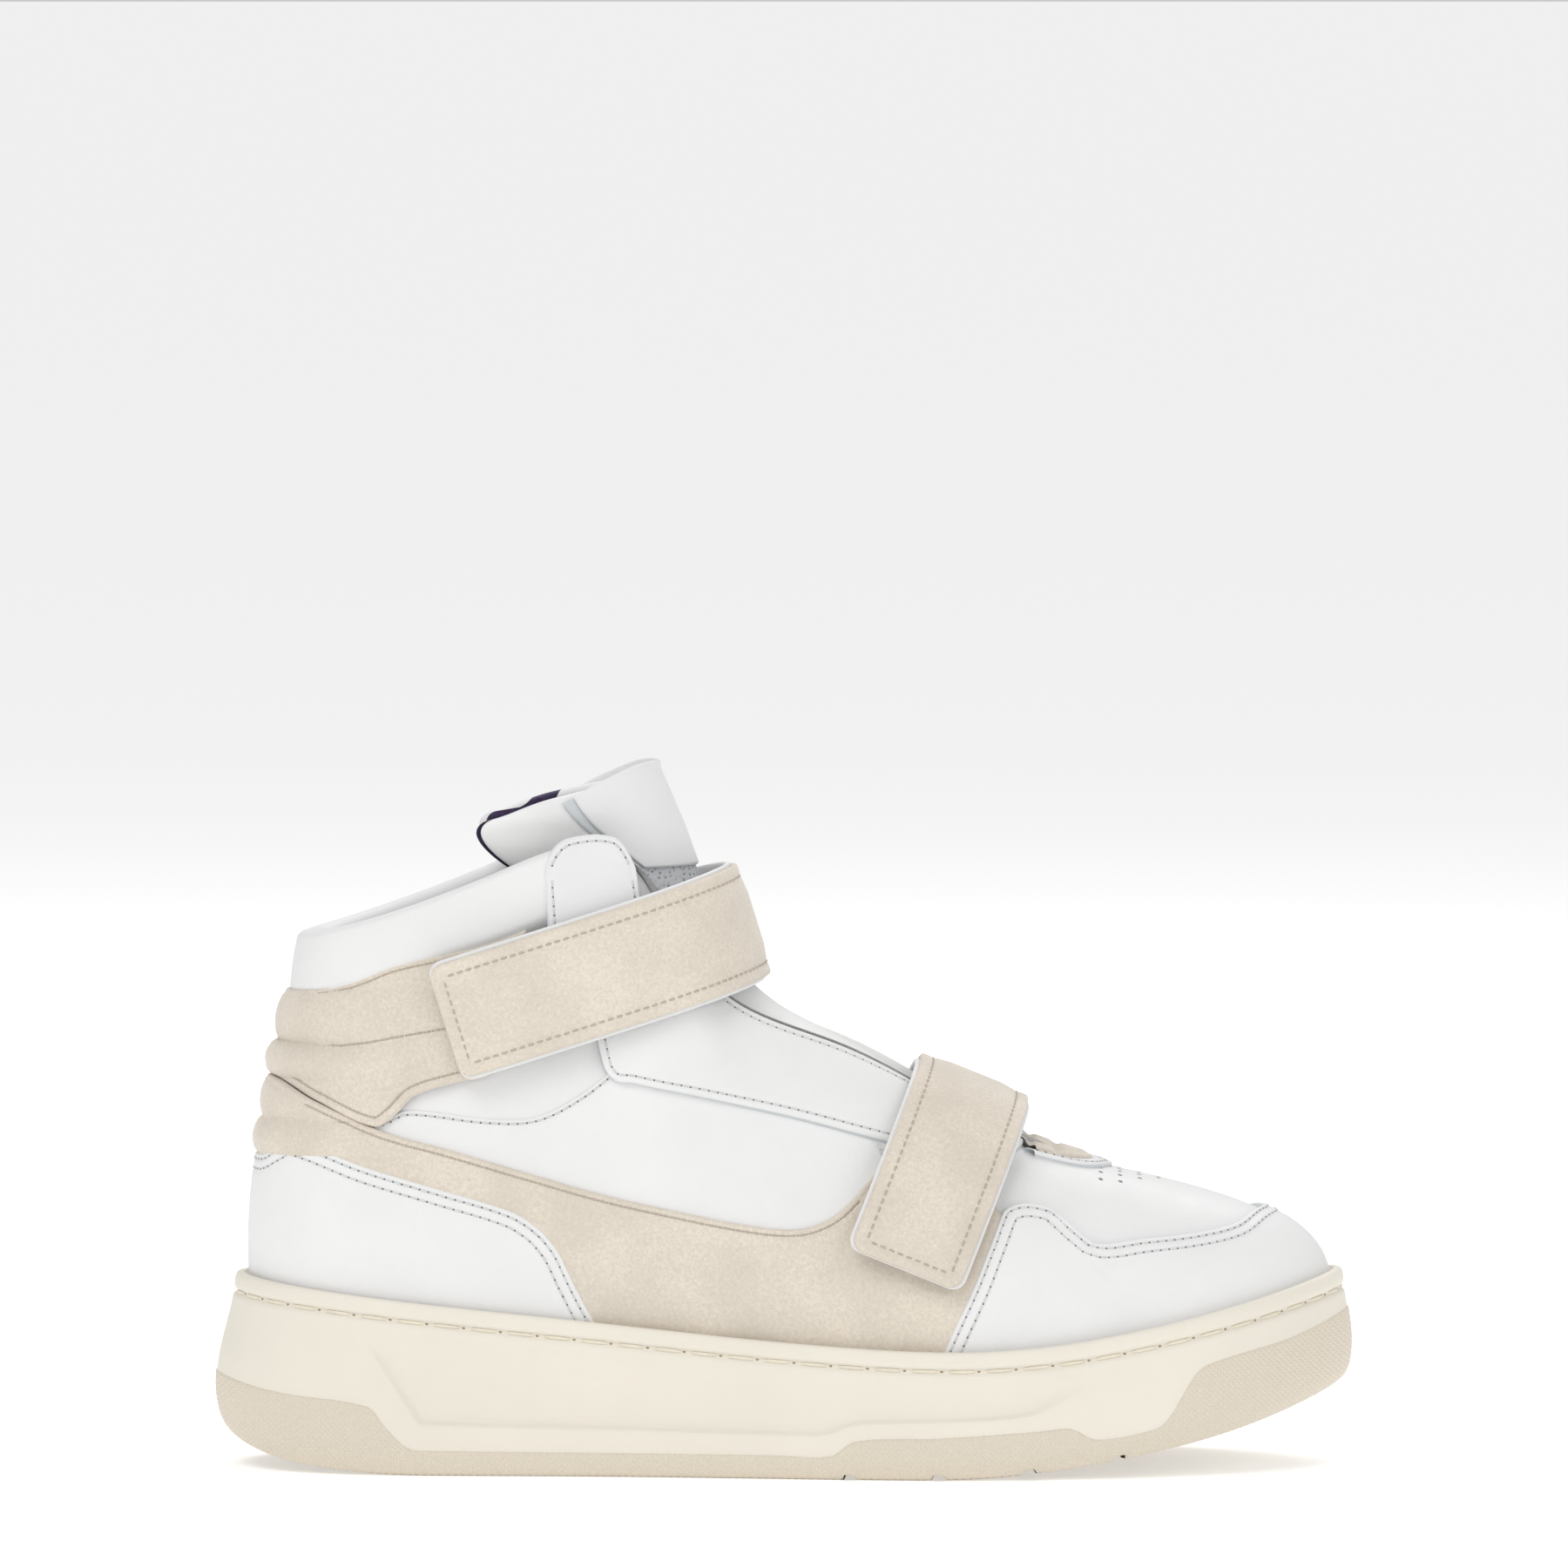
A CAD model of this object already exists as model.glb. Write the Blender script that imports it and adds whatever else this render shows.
"""The looks of the high-top basketball shoe.

Every panel is a patch of one surface, walked by "k" round the foot (0 heel, 10 toe, 20 heel again,
lateral side first) and by "t" from the sole, 0, to the opening's edge, 1. Tables are in
millimetres, and meshes in metres.
"""
import math

import bpy
import numpy as np
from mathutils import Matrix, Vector


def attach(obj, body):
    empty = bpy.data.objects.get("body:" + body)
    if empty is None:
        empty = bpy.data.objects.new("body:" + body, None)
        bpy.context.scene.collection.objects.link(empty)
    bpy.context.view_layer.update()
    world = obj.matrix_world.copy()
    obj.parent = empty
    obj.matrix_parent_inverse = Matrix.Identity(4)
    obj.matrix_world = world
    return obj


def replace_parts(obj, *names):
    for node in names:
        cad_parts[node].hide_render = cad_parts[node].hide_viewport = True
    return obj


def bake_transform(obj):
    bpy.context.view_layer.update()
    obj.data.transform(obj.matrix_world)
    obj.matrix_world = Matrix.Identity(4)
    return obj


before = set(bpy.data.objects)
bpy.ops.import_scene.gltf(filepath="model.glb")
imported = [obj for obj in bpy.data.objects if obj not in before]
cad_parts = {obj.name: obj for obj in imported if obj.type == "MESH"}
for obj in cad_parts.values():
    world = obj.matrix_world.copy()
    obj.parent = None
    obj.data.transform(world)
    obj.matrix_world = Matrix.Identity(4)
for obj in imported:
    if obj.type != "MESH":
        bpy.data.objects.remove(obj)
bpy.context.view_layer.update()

MM = 0.001
STATIONS = 10
MIDDLE = 2 * STATIONS
FINE = 1.0

# ---- the shoe's surface -------------------------------------------------------------------------

# Bottom edge of the upper, x and y, from the middle of the heel to the tip of the toe.
LATERAL_BASE = [(-134.7, 0), (-126, -20.5), (-104, -30.5), (-73, -33), (-42, -35), (-12, -39),
                (18, -43.5), (50, -45.5), (84, -41), (116, -27), (137.5, 4)]
MEDIAL_BASE = [(-134.7, 0), (-126, 20.5), (-104, 29.5), (-73, 29.5), (-42, 29), (-12, 31.5),
               (18, 37.5), (50, 44), (84, 45.4), (119, 33), (137.5, 4)]
# Edge of the opening, x, distance from the middle plane, and height.
OPENING = [(-122, 0, 134), (-117, 16, 135), (-100, 26, 140), (-76, 30, 149), (-52, 28, 157.5),
           (-34, 24, 150), (-17, 19, 123), (12, 17, 109), (38, 14.5, 95.5), (59, 9, 84), (68, 0, 80)]
# How far the wall swells outward above the bottom edge, and over what height.
SWELL = [6.5, 6.5, 6, 5.5, 6, 6, 5, 4.5, 5.5, 7.5, 9.5]
SWELL_RISE = [35, 36, 38, 41, 44, 42, 36, 30, 25, 24, 25]
# The direction in which the surface leaves the opening's edge, x, outward and down.
LEAN = [(-7.5, 0, -31), (-6, 3.5, -31), (-2, 5, -34), (1, 5, -38), (4, 5, -42), (8, 8, -40),
        (9, 14, -26), (10, 18, -20), (14, 17, -14), (34, 13, -10), (54, 0, -9)]
RIM_SINK = 14.0

# Lines seen from the side, each a height for an x.
RIM = [(-150, 52), (-140, 50), (-100, 44.5), (-50, 39.3), (0, 34.6), (40, 32.4), (65, 33.6),
       (90, 37.6), (115, 43.4), (140, 50.4), (150, 53)]
GROUND = [(-152, 26), (-145, 17), (-142, 12.5), (-134, 6.5), (-124, 3), (-108, 0.8), (-95, 0.05),
          (-80, 0), (20, 0), (36, 0.05), (50, 0.5), (70, 2.6), (90, 6), (110, 10.8), (128, 17),
          (139, 22.5), (145, 29), (152, 40)]
OUTSOLE_TOP = [(-152, 28), (-143, 26.4), (-124, 20.9), (-103.5, 17.6), (-100, 13), (-95, 7.6),
               (-91, 6.6), (0, 6.2), (13, 6.2), (19, 10), (40, 11), (63, 12.6), (71, 13.2),
               (77, 10.4), (90, 12.2), (94, 14.5), (101, 26), (105.7, 29), (126, 34.7),
               (144.6, 43), (152, 46)]
HEEL_COVER_TOP = [(-150, 80), (-133, 80), (-129, 82.5), (-125, 84.6), (-106, 78.2), (-87, 72.7),
                  (-69, 67.2), (-62, 62.8), (-57, 56.9), (-53, 48.6), (-49, 41), (-45, 34),
                  (-38, 22)]
BAND_TOP = [(-150, 101), (-130, 99.6), (-119, 94.3), (-102, 87.2), (-85, 82.6), (-65.5, 76.9),
            (-46, 71.4), (-26, 67), (-11, 64.2), (0, 63), (7, 63.8), (14, 67.5), (22, 76),
            (29, 83), (40, 80), (54, 69), (60, 60)]
SUEDE_LOW = [(-150, 101), (-130, 99.6), (-119, 94.3), (-104, 88.2), (-99, 91), (-94, 96),
             (-83.5, 99.5), (-74, 102), (-66, 110), (-60, 124), (-56, 140), (-52, 150)]
QUARTER_TOP = [(-150, 101), (-130, 99.6), (-119, 94.3), (-104, 90), (-96, 93), (-75, 91),
               (-63, 91.5), (-52, 97), (-42, 105), (-30, 116), (-18, 126), (0, 150)]
COLLAR_LOW = [(-150, 120), (-125, 121.5), (-110, 124.6), (-98.9, 129), (-75.4, 134.7),
              (-59.5, 141), (-50, 146), (-42, 153), (-36, 162)]
EYESTAY_LOW = [(-60, 170), (-52, 140), (-48, 114), (-45, 102), (-38, 99.4), (-20, 95.8),
               (2, 91), (26, 84.8), (45, 80.6), (54, 79.8), (60, 82.5), (66, 88)]
EYESTAY_TOP = [(-60, 124), (-37, 129), (-31, 140), (-26, 160), (0, 170)]
TAB_LOW = [(-80, 128), (-62, 133), (-34, 139), (-20, 143)]
QUILT_LINE = [(-150, 108.4), (-128, 108.2), (-120.6, 107.9), (-112.6, 108.4), (-104.7, 109.6),
              (-96.7, 111.2), (-89.2, 112.6), (-70, 116)]
MUDGUARD_TOP = [(30, 0), (38, 25), (40.4, 32.5), (47.9, 49), (52, 59.3), (56, 68), (67.4, 68.1),
                (73.6, 63), (79, 59.2), (91, 60), (104.4, 61), (114.5, 62.8), (121, 66), (150, 67)]


def line_at(points, x):
    """The heights of a side line at x, on a cubic that passes through its points."""
    xs, zs = np.array(points, float).T
    before = np.maximum(np.arange(len(xs)) - 1, 0)
    after = np.minimum(np.arange(len(xs)) + 1, len(xs) - 1)
    slopes = (zs[after] - zs[before]) / (xs[after] - xs[before])
    x = np.clip(x, xs[0], xs[-1])
    i = np.clip(np.searchsorted(xs, x, side="right") - 1, 0, len(xs) - 2)
    wide = xs[i + 1] - xs[i]
    f = (x - xs[i]) / wide
    return ((2 * f**3 - 3 * f**2 + 1) * zs[i] + (f**3 - 2 * f**2 + f) * slopes[i] * wide
            + (3 * f**2 - 2 * f**3) * zs[i + 1] + (f**3 - f**2) * slopes[i + 1] * wide)


class Ring:
    """Numbers that vary smoothly round the foot: periodic cubics through their stations."""

    def __init__(self, lateral, medial):
        rows = list(lateral) + [medial[k] for k in range(STATIONS - 1, 0, -1)]
        self.values = np.array(rows, float).reshape(MIDDLE, -1)
        self.bends = np.zeros_like(self.values)
        for _ in range(60):
            for i in range(MIDDLE):
                after = (i + 1) % MIDDLE
                curve = 6 * (self.values[after] - 2 * self.values[i] + self.values[i - 1])
                self.bends[i] = (curve - self.bends[i - 1] - self.bends[after]) / 4

    def at(self, k):
        k = np.asarray(k, float)
        whole = np.floor(k)
        f = (k - whole)[..., None]
        g = 1 - f
        i = whole.astype(int) % MIDDLE
        j = (i + 1) % MIDDLE
        return (self.values[i] * g + self.values[j] * f
                + ((g**3 - g) * self.bends[i] + (f**3 - f) * self.bends[j]) / 6)


def mirrored(rows):
    return [(row[0], -row[1], row[2]) for row in rows]


BASE = Ring(LATERAL_BASE, MEDIAL_BASE)
EDGE = Ring(mirrored(OPENING), OPENING)
LEANING = Ring(mirrored(LEAN), LEAN)
SWELLING = Ring(list(zip(SWELL, SWELL_RISE)), list(zip(SWELL, SWELL_RISE)))


def unit(v):
    return v / np.maximum(np.linalg.norm(v, axis=-1, keepdims=True), 1e-9)


def outline_at(k, out):
    """Points of the footprint, moved outward by out, and their outward directions."""
    here = BASE.at(k)
    run = BASE.at(np.asarray(k) + 0.01) - BASE.at(np.asarray(k) - 0.01)
    outward = unit(np.stack([run[..., 1], -run[..., 0]], axis=-1))
    return here + outward * np.asarray(out)[..., None], outward


def skin_at(k, t):
    """Points of the upper's outer surface."""
    k, t = np.broadcast_arrays(np.asarray(k, float), np.asarray(t, float))
    flat, outward = outline_at(k, np.zeros(k.shape))
    low = np.concatenate([flat, (line_at(RIM, flat[..., 0]) - RIM_SINK)[..., None]], axis=-1)
    pull = SWELLING.at(k)
    low_pull = low + np.concatenate([outward * pull[..., :1], pull[..., 1:]], axis=-1)
    high = EDGE.at(k)
    high_pull = high + LEANING.at(k)
    t = t[..., None]
    s = 1 - t
    return low * s**3 + low_pull * (3 * s * s * t) + high_pull * (3 * s * t * t) + high * t**3


def skin_frame(k, t):
    """Points of the surface with their normals and their uphill directions."""
    along = skin_at(k + 0.02, t) - skin_at(k - 0.02, t)
    up = unit(skin_at(k, t + 0.01) - skin_at(k, t - 0.01))
    normal = unit(np.cross(along, up))
    return skin_at(k, t), normal, up


def climb_to(k, line):
    """The t of a border at each k: a side line is searched for, a function of k is called."""
    if callable(line):
        return line(k)
    low, high = np.zeros_like(k), np.ones_like(k)
    for _ in range(26):
        middle = (low + high) / 2
        point = skin_at(k, middle)
        under = point[..., 2] < line_at(line, point[..., 0])
        low = np.where(under, middle, low)
        high = np.where(under, high, middle)
    return high


def smooth(edge0, edge1, x):
    f = np.clip((x - edge0) / (edge1 - edge0), 0, 1)
    return f * f * (3 - 2 * f)


# ---- meshes -------------------------------------------------------------------------------------

def make_piece(name, points, faces, material, body="shoe", marked=None, marked_material=None):
    """A smooth mesh piece from points in millimetres; marked faces take a second material."""
    mesh = bpy.data.meshes.new(name)
    mesh.from_pydata((np.asarray(points) * MM).tolist(), [], faces)
    mesh.validate()
    mesh.polygons.foreach_set("use_smooth", [True] * len(mesh.polygons))
    piece = bpy.data.objects.new(name, mesh)
    bpy.context.scene.collection.objects.link(piece)
    piece.data.materials.append(material)
    if marked is not None:
        piece.data.materials.append(marked_material or raw_edge)
        mesh.polygons.foreach_set("material_index", marked.astype(int).ravel().tolist())
    if body:
        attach(piece, body)
    return piece


def grid_faces(rows, columns, start=0, wrap_rows=False, wrap_columns=False):
    """Quads of a grid whose point (row, column) is start + row * columns + column."""
    faces = []
    for i in range(rows if wrap_rows else rows - 1):
        for j in range(columns if wrap_columns else columns - 1):
            a = start + i * columns + j
            b = start + i * columns + (j + 1) % columns
            c = start + (i + 1) % rows * columns + (j + 1) % columns
            d = start + (i + 1) % rows * columns + j
            faces.append((a, d, c, b))
    return faces


def grid_piece(name, grid, material, body="shoe", marked=None, marked_material=None, **wraps):
    rows, columns = grid.shape[:2]
    return make_piece(name, grid.reshape(-1, 3), grid_faces(rows, columns, **wraps), material, body,
                      marked, marked_material)


def face_least(values):
    """The least of a grid's values at the four corners of each face."""
    return np.minimum.reduce([values[:-1, :-1], values[1:, :-1], values[:-1, 1:], values[1:, 1:]])


# Distances from a sewn edge, in millimetres, at which a panel has a row of points.
EDGE_STEPS = np.array([0, 0.05, 0.2, 0.45, 0.8, 1.3, 1.8, 2.2, 2.7, 3.4, 4.2, 5.0, 6.0, 7.5])


def rounding(distance, radius=0.75):
    """How far a cut edge has risen, from 0 to 1, at a distance from it."""
    f = np.clip(distance / radius, 0, 1)
    return np.sqrt(1 - (1 - f)**2)


def seam_dips(distance, seams, depth=0.22, width=0.55):
    """The furrows that rows of stitches pull into the leather."""
    total = np.zeros_like(distance)
    for seam in seams:
        total -= depth * np.exp(-((distance - seam) / width)**2)
    return total


# How much of a leather panel's border shows its raw cut edge.
CUT_WIDTH = 0.12


class Panel:
    """A sewn panel: a grid of points between two side lines, with rolled edges and furrows."""

    def __init__(self, k0, k1, low_line, high_line, inner, outer, low_seams=(), high_seams=(),
                 end_seams=(), relief=None, ends=True, seam_reach=200.0):
        step = 0.045 * FINE
        run = np.linalg.norm(skin_at(np.array([(k0 + k1) / 2 + 0.5]), 0.4)
                             - skin_at(np.array([(k0 + k1) / 2 - 0.5]), 0.4))
        near = EDGE_STEPS[:8] / max(run, 8)
        count = max(8, int((k1 - k0) / step))
        inside = np.linspace(k0 + near[-1], k1 - near[-1], count)
        self.k = np.concatenate([k0 + near[:-1], inside, (k1 - near[:-1])[::-1]])
        self.low = np.zeros_like(self.k) if low_line is None else climb_to(self.k, low_line)
        self.high = np.ones_like(self.k) if high_line is None else climb_to(self.k, high_line)
        self.high = np.maximum(self.high, self.low + 0.004)
        middle = (self.low + self.high) / 2
        gap = (skin_at(self.k, np.minimum(self.high, 1)) - skin_at(self.k, self.low))
        length = np.maximum(np.linalg.norm(gap, axis=-1), 0.4)
        reach = EDGE_STEPS[-1]
        squeeze = np.minimum(1, length * 0.48 / reach)
        fill = np.linspace(0, 1, max(6, int(np.max(length) / (1.6 * FINE))))[1:-1]
        from_low = EDGE_STEPS[:, None] * squeeze
        from_high = length - from_low[::-1]
        between = reach * squeeze + (length - 2 * reach * squeeze) * fill[:, None]
        distance = np.concatenate([from_low, between, from_high])
        k = np.broadcast_to(self.k, distance.shape)
        t = self.low + (self.high - self.low) * distance / length
        points, normals, up = skin_frame(k, t)
        lean_low = self._crossing(self.k, self.low)
        lean_high = self._crossing(self.k, self.high)
        to_low, to_high = distance * lean_low, (length - distance) * lean_high
        stride = 0.02
        ahead = skin_at(self.k + stride, middle)
        behind = skin_at(self.k - stride, middle)
        speed = np.linalg.norm(ahead - behind, axis=-1) / (2 * stride)
        to_end = np.minimum(self.k - k0, k1 - self.k) * speed * np.ones_like(distance)
        far = np.full_like(distance, 99.0)
        borders = [to_low if low_line is not None else far,
                   to_high if high_line is not None else far,
                   to_end if ends else far]
        nearest = np.minimum.reduce(borders)
        height = inner + (outer - inner) * rounding(nearest)
        height = height + seam_dips(to_low, low_seams) + seam_dips(to_high, high_seams)
        height = height + seam_dips(to_end, end_seams)
        if relief is not None:
            height = height + relief(points, k)
        self.grid = points + normals * height[..., None]
        self.cut = face_least(nearest) < CUT_WIDTH
        self.outer = outer
        self.seam_reach = seam_reach

    @staticmethod
    def _crossing(k, t):
        """The sine of the angle between a border and the surface's uphill direction."""
        points, _, up = skin_frame(k, t)
        run = unit(np.gradient(points, axis=0))
        return np.clip(np.linalg.norm(np.cross(run, up), axis=-1), 0.25, 1)

    def settle(self, line, normals):
        """Moves stitch points along their normals onto the finished, padded surface."""
        grid = self.grid.reshape(-1, 3)
        settled = []
        for point, normal in zip(line, normals):
            distance = ((grid - point)**2).sum(axis=1)
            near = np.argpartition(distance, 5)[:5]
            heights = (grid[near] - point) @ normal
            settled.append(point + normal * np.average(heights, weights=1 / (distance[near] + 0.05)))
        return np.array(settled), normals

    def side_seam(self, line, k0, k1):
        """A stitch line that follows a side line between two stations."""
        k = np.linspace(k0, k1, 90)
        points, normals, _ = skin_frame(k, climb_to(k, line))
        return self.settle(points, normals)

    def seam(self, side, inset):
        """A stitch line that follows the low or high border at a distance inside it."""
        t = self.low if side == "low" else self.high
        points, normals, _ = skin_frame(self.k, t)
        run = unit(np.gradient(points, axis=0))
        inward = unit(np.cross(normals, run))
        if side == "high":
            inward = -inward
        keep = points[:, 0] < self.seam_reach
        keep[:2] = keep[-2:] = False
        place = points + inward * inset + normals * self.outer
        return self.settle(place[keep], normals[keep])

    def end_seam(self, which, inset):
        """A stitch line beside the first or last k border."""
        k = self.k[0] if which == "first" else self.k[-1]
        low = self.low[0] if which == "first" else self.low[-1]
        high = self.high[0] if which == "first" else self.high[-1]
        t = np.linspace(low, high, 40)
        points, normals, up = skin_frame(np.full_like(t, k), t)
        inward = unit(np.cross(up, normals))
        if which == "last":
            inward = -inward
        return self.settle(points + inward * inset + normals * self.outer, normals)


class Thread:
    """Collects stitches and turns them into one piece."""

    def __init__(self, name, material, body="shoe"):
        self.name, self.material, self.body = name, material, body
        self.points, self.faces, self.total = [], [], 0

    def sew(self, line, normals, pitch=2.35, length=1.65, radius=0.27, sink=0.0, phase=0.5):
        """Stitches end to end along a line of points that lie on the leather."""
        steps = np.linalg.norm(np.diff(line, axis=0), axis=1)
        reach = np.concatenate([[0], np.cumsum(steps)])
        count = int(reach[-1] / pitch)
        if count < 1:
            return
        start = (reach[-1] - count * pitch) / 2
        around = np.linspace(0, 2 * math.pi, 6, endpoint=False)
        shape = [(-0.5, 0.25, -0.8), (-0.42, 0.8, -0.1), (-0.2, 1, 0.12), (0.2, 1, 0.12),
                 (0.42, 0.8, -0.1), (0.5, 0.25, -0.8)]
        for n in range(count):
            middle = start + (n + phase) * pitch
            rings = []
            for along, wide, lift in shape:
                s = middle + along * length
                centre = np.array([np.interp(s, reach, line[:, c]) for c in range(3)])
                normal = unit(np.array([np.interp(s, reach, normals[:, c]) for c in range(3)]))
                ahead = np.array([np.interp(s + 0.1, reach, line[:, c])
                                  - np.interp(s - 0.1, reach, line[:, c]) for c in range(3)])
                across = unit(np.cross(normal, ahead))
                centre = centre + normal * (radius * lift - radius * sink)
                for angle in around:
                    rings.append(centre + across * (math.cos(angle) * radius * wide)
                                 + normal * (math.sin(angle) * radius * wide * 0.9))
            self.points += rings
            self.faces += grid_faces(6, 6, self.total, wrap_columns=True)
            self.total += 36

    def finish(self):
        if not self.points:
            return None
        return make_piece(self.name, self.points, self.faces, self.material, self.body)


# ---- materials ----------------------------------------------------------------------------------

class Shader:
    """Builds one node material with colour variation and layered bumps."""

    def __init__(self, name, colour, roughness, **sockets):
        self.material = bpy.data.materials.new(name)
        self.material.use_nodes = True
        self.nodes = self.material.node_tree.nodes
        self.links = self.material.node_tree.links
        self.shader = self.nodes["Principled BSDF"]
        self.shader.inputs["Base Color"].default_value = (*colour, 1)
        self.shader.inputs["Roughness"].default_value = roughness
        for socket, value in sockets.items():
            self.shader.inputs[socket.replace("_", " ")].default_value = value
        self.coordinates = self.nodes.new("ShaderNodeTexCoord").outputs["Object"]
        self.normal = None

    def turn(self, degrees):
        """Turns the pattern's coordinates about the axis across the shoe."""
        node = self.nodes.new("ShaderNodeMapping")
        node.inputs["Rotation"].default_value = (0, math.radians(degrees), 0)
        self.links.new(self.coordinates, node.inputs["Vector"])
        self.coordinates = node.outputs["Vector"]

    def noise(self, scale, detail=3.0, roughness=0.55):
        node = self.nodes.new("ShaderNodeTexNoise")
        node.inputs["Scale"].default_value = scale
        node.inputs["Detail"].default_value = detail
        node.inputs["Roughness"].default_value = roughness
        self.links.new(self.coordinates, node.inputs["Vector"])
        return node.outputs["Fac"]

    def cells(self, scale, feature="F1", output="Distance"):
        node = self.nodes.new("ShaderNodeTexVoronoi")
        node.feature = feature
        node.inputs["Scale"].default_value = scale
        self.links.new(self.coordinates, node.inputs["Vector"])
        return node.outputs[output]

    def waves(self, scale, direction):
        node = self.nodes.new("ShaderNodeTexWave")
        node.bands_direction = direction
        node.inputs["Scale"].default_value = scale
        self.links.new(self.coordinates, node.inputs["Vector"])
        return node.outputs["Fac"]

    def mix(self, a, b, operation="ADD"):
        node = self.nodes.new("ShaderNodeMath")
        node.operation = operation
        self.links.new(a, node.inputs[0])
        self.links.new(b, node.inputs[1])
        return node.outputs[0]

    def bump(self, height, strength, distance):
        node = self.nodes.new("ShaderNodeBump")
        node.inputs["Strength"].default_value = strength
        node.inputs["Distance"].default_value = distance * MM
        self.links.new(height, node.inputs["Height"])
        if self.normal is not None:
            self.links.new(self.normal, node.inputs["Normal"])
        self.normal = node.outputs["Normal"]
        self.links.new(self.normal, self.shader.inputs["Normal"])
        return self

    def tint(self, factor, low, high, start=0.35, end=0.65):
        """Colour that runs from low to high as the factor runs from start to end."""
        ramp = self.nodes.new("ShaderNodeValToRGB")
        ramp.color_ramp.elements[0].position = start
        ramp.color_ramp.elements[0].color = (*low, 1)
        ramp.color_ramp.elements[1].position = end
        ramp.color_ramp.elements[1].color = (*high, 1)
        self.links.new(factor, ramp.inputs["Fac"])
        self.links.new(ramp.outputs["Color"], self.shader.inputs["Base Color"])
        return self

    def gloss(self, factor, low, high):
        """Roughness that runs from low to high with a factor."""
        node = self.nodes.new("ShaderNodeMapRange")
        node.inputs["From Min"].default_value = 0.3
        node.inputs["From Max"].default_value = 0.7
        node.inputs["To Min"].default_value = low
        node.inputs["To Max"].default_value = high
        self.links.new(factor, node.inputs["Value"])
        self.links.new(node.outputs["Result"], self.shader.inputs["Roughness"])
        return self


def shade(colour, factor):
    return tuple(channel * factor for channel in colour)


def leather(name, colour):
    made = Shader(name, colour, 0.5, Specular_IOR_Level=0.42)
    made.tint(made.noise(38, 4), shade(colour, 0.965), colour)
    made.gloss(made.noise(160, 3), 0.42, 0.58)
    made.bump(made.noise(60, 3), 0.25, 0.9)
    made.bump(made.cells(1250), 0.22, 0.12)
    made.bump(made.noise(2600, 2), 0.2, 0.05)
    return made.material


def suede(name, colour):
    made = Shader(name, colour, 0.92, Sheen_Weight=0.35, Sheen_Roughness=0.45,
                  Specular_IOR_Level=0.15)
    grain = made.noise(1150, 4, 0.75)
    nap = made.mix(grain, made.mix(grain, made.noise(60, 3, 0.45), "MULTIPLY"), "MULTIPLY")
    made.tint(nap, shade(colour, 0.86), shade(colour, 1.05), 0.04, 0.22)
    made.bump(made.noise(620, 4, 0.7), 0.55, 0.4)
    made.bump(made.noise(3400, 3, 0.8), 0.55, 0.12)
    return made.material


def rubber(name, colour, roughness=0.55):
    made = Shader(name, colour, roughness, Specular_IOR_Level=0.35)
    made.tint(made.noise(30, 4), shade(colour, 0.97), colour)
    made.bump(made.noise(1500, 3), 0.12, 0.08)
    return made.material


def studded_rubber(name, colour):
    """Rubber moulded with a fine lattice of raised dots."""
    made = Shader(name, colour, 0.6, Specular_IOR_Level=0.3)
    made.turn(45)
    lattice = made.mix(made.waves(300, "X"), made.waves(300, "Z"), "MULTIPLY")
    made.tint(lattice, shade(colour, 0.93), colour, 0.1, 0.7)
    made.bump(lattice, 0.6, 0.35)
    return made.material


def mesh_cloth(name, colour, hole):
    made = Shader(name, colour, 0.85, Sheen_Weight=0.2, Specular_IOR_Level=0.2)
    holes = made.cells(820)
    made.tint(holes, hole, colour, 0.12, 0.4)
    made.bump(holes, 0.6, 0.4)
    return made.material


def knit(name, colour):
    made = Shader(name, colour, 0.95, Sheen_Weight=0.3, Specular_IOR_Level=0.12)
    made.tint(made.noise(900, 3), shade(colour, 0.75), shade(colour, 1.35))
    made.bump(made.cells(1500), 0.5, 0.25)
    return made.material


def pile(name, colour):
    made = Shader(name, colour, 0.95, Sheen_Weight=0.5, Specular_IOR_Level=0.1)
    made.tint(made.noise(1800, 4), shade(colour, 0.8), colour)
    made.bump(made.noise(2200, 4, 0.8), 0.9, 0.5)
    return made.material


def plain(name, colour, roughness=0.6, bump_scale=1800):
    made = Shader(name, colour, roughness)
    made.tint(made.noise(bump_scale / 12), shade(colour, 0.93), colour)
    made.bump(made.noise(bump_scale), 0.25, 0.08)
    return made.material


WHITE = (0.79, 0.79, 0.785)
CREAM = (0.725, 0.655, 0.56)
NAVY = (0.045, 0.03, 0.075)
white_leather = leather("white_leather", WHITE)
tab_leather = leather("tab_leather", (0.77, 0.77, 0.77))
cream_suede = suede("cream_suede", CREAM)
cream_rubber = rubber("cream_rubber", (0.79, 0.745, 0.655))
tinted_rubber = studded_rubber("tinted_rubber", (0.735, 0.665, 0.555))
tread_rubber = rubber("tread_rubber", (0.66, 0.60, 0.50), 0.65)
lining_knit = knit("navy_lining", NAVY)
grey_mesh = mesh_cloth("grey_mesh", (0.62, 0.63, 0.65), (0.22, 0.22, 0.24))
thread = plain("thread", (0.66, 0.665, 0.67), 0.6, 3000)
cream_thread = plain("cream_thread", (0.48, 0.42, 0.35), 0.6, 3000)
sole_thread = plain("sole_thread", (0.80, 0.74, 0.61), 0.6, 3000)
dark_hole = plain("needle_hole", (0.23, 0.225, 0.22), 0.9)
suede_hole = plain("suede_needle_hole", (0.44, 0.38, 0.31), 0.9)
sole_hole = plain("sole_needle_hole", (0.36, 0.27, 0.16), 0.9)
loop_pile = pile("loop_pile", (0.70, 0.70, 0.69))
hook_tape = pile("hook_tape", (0.74, 0.74, 0.73))
raw_edge = plain("raw_edge", (0.61, 0.64, 0.66), 0.85)
foam = plain("foam", (0.74, 0.72, 0.68), 0.9, 900)
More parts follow.
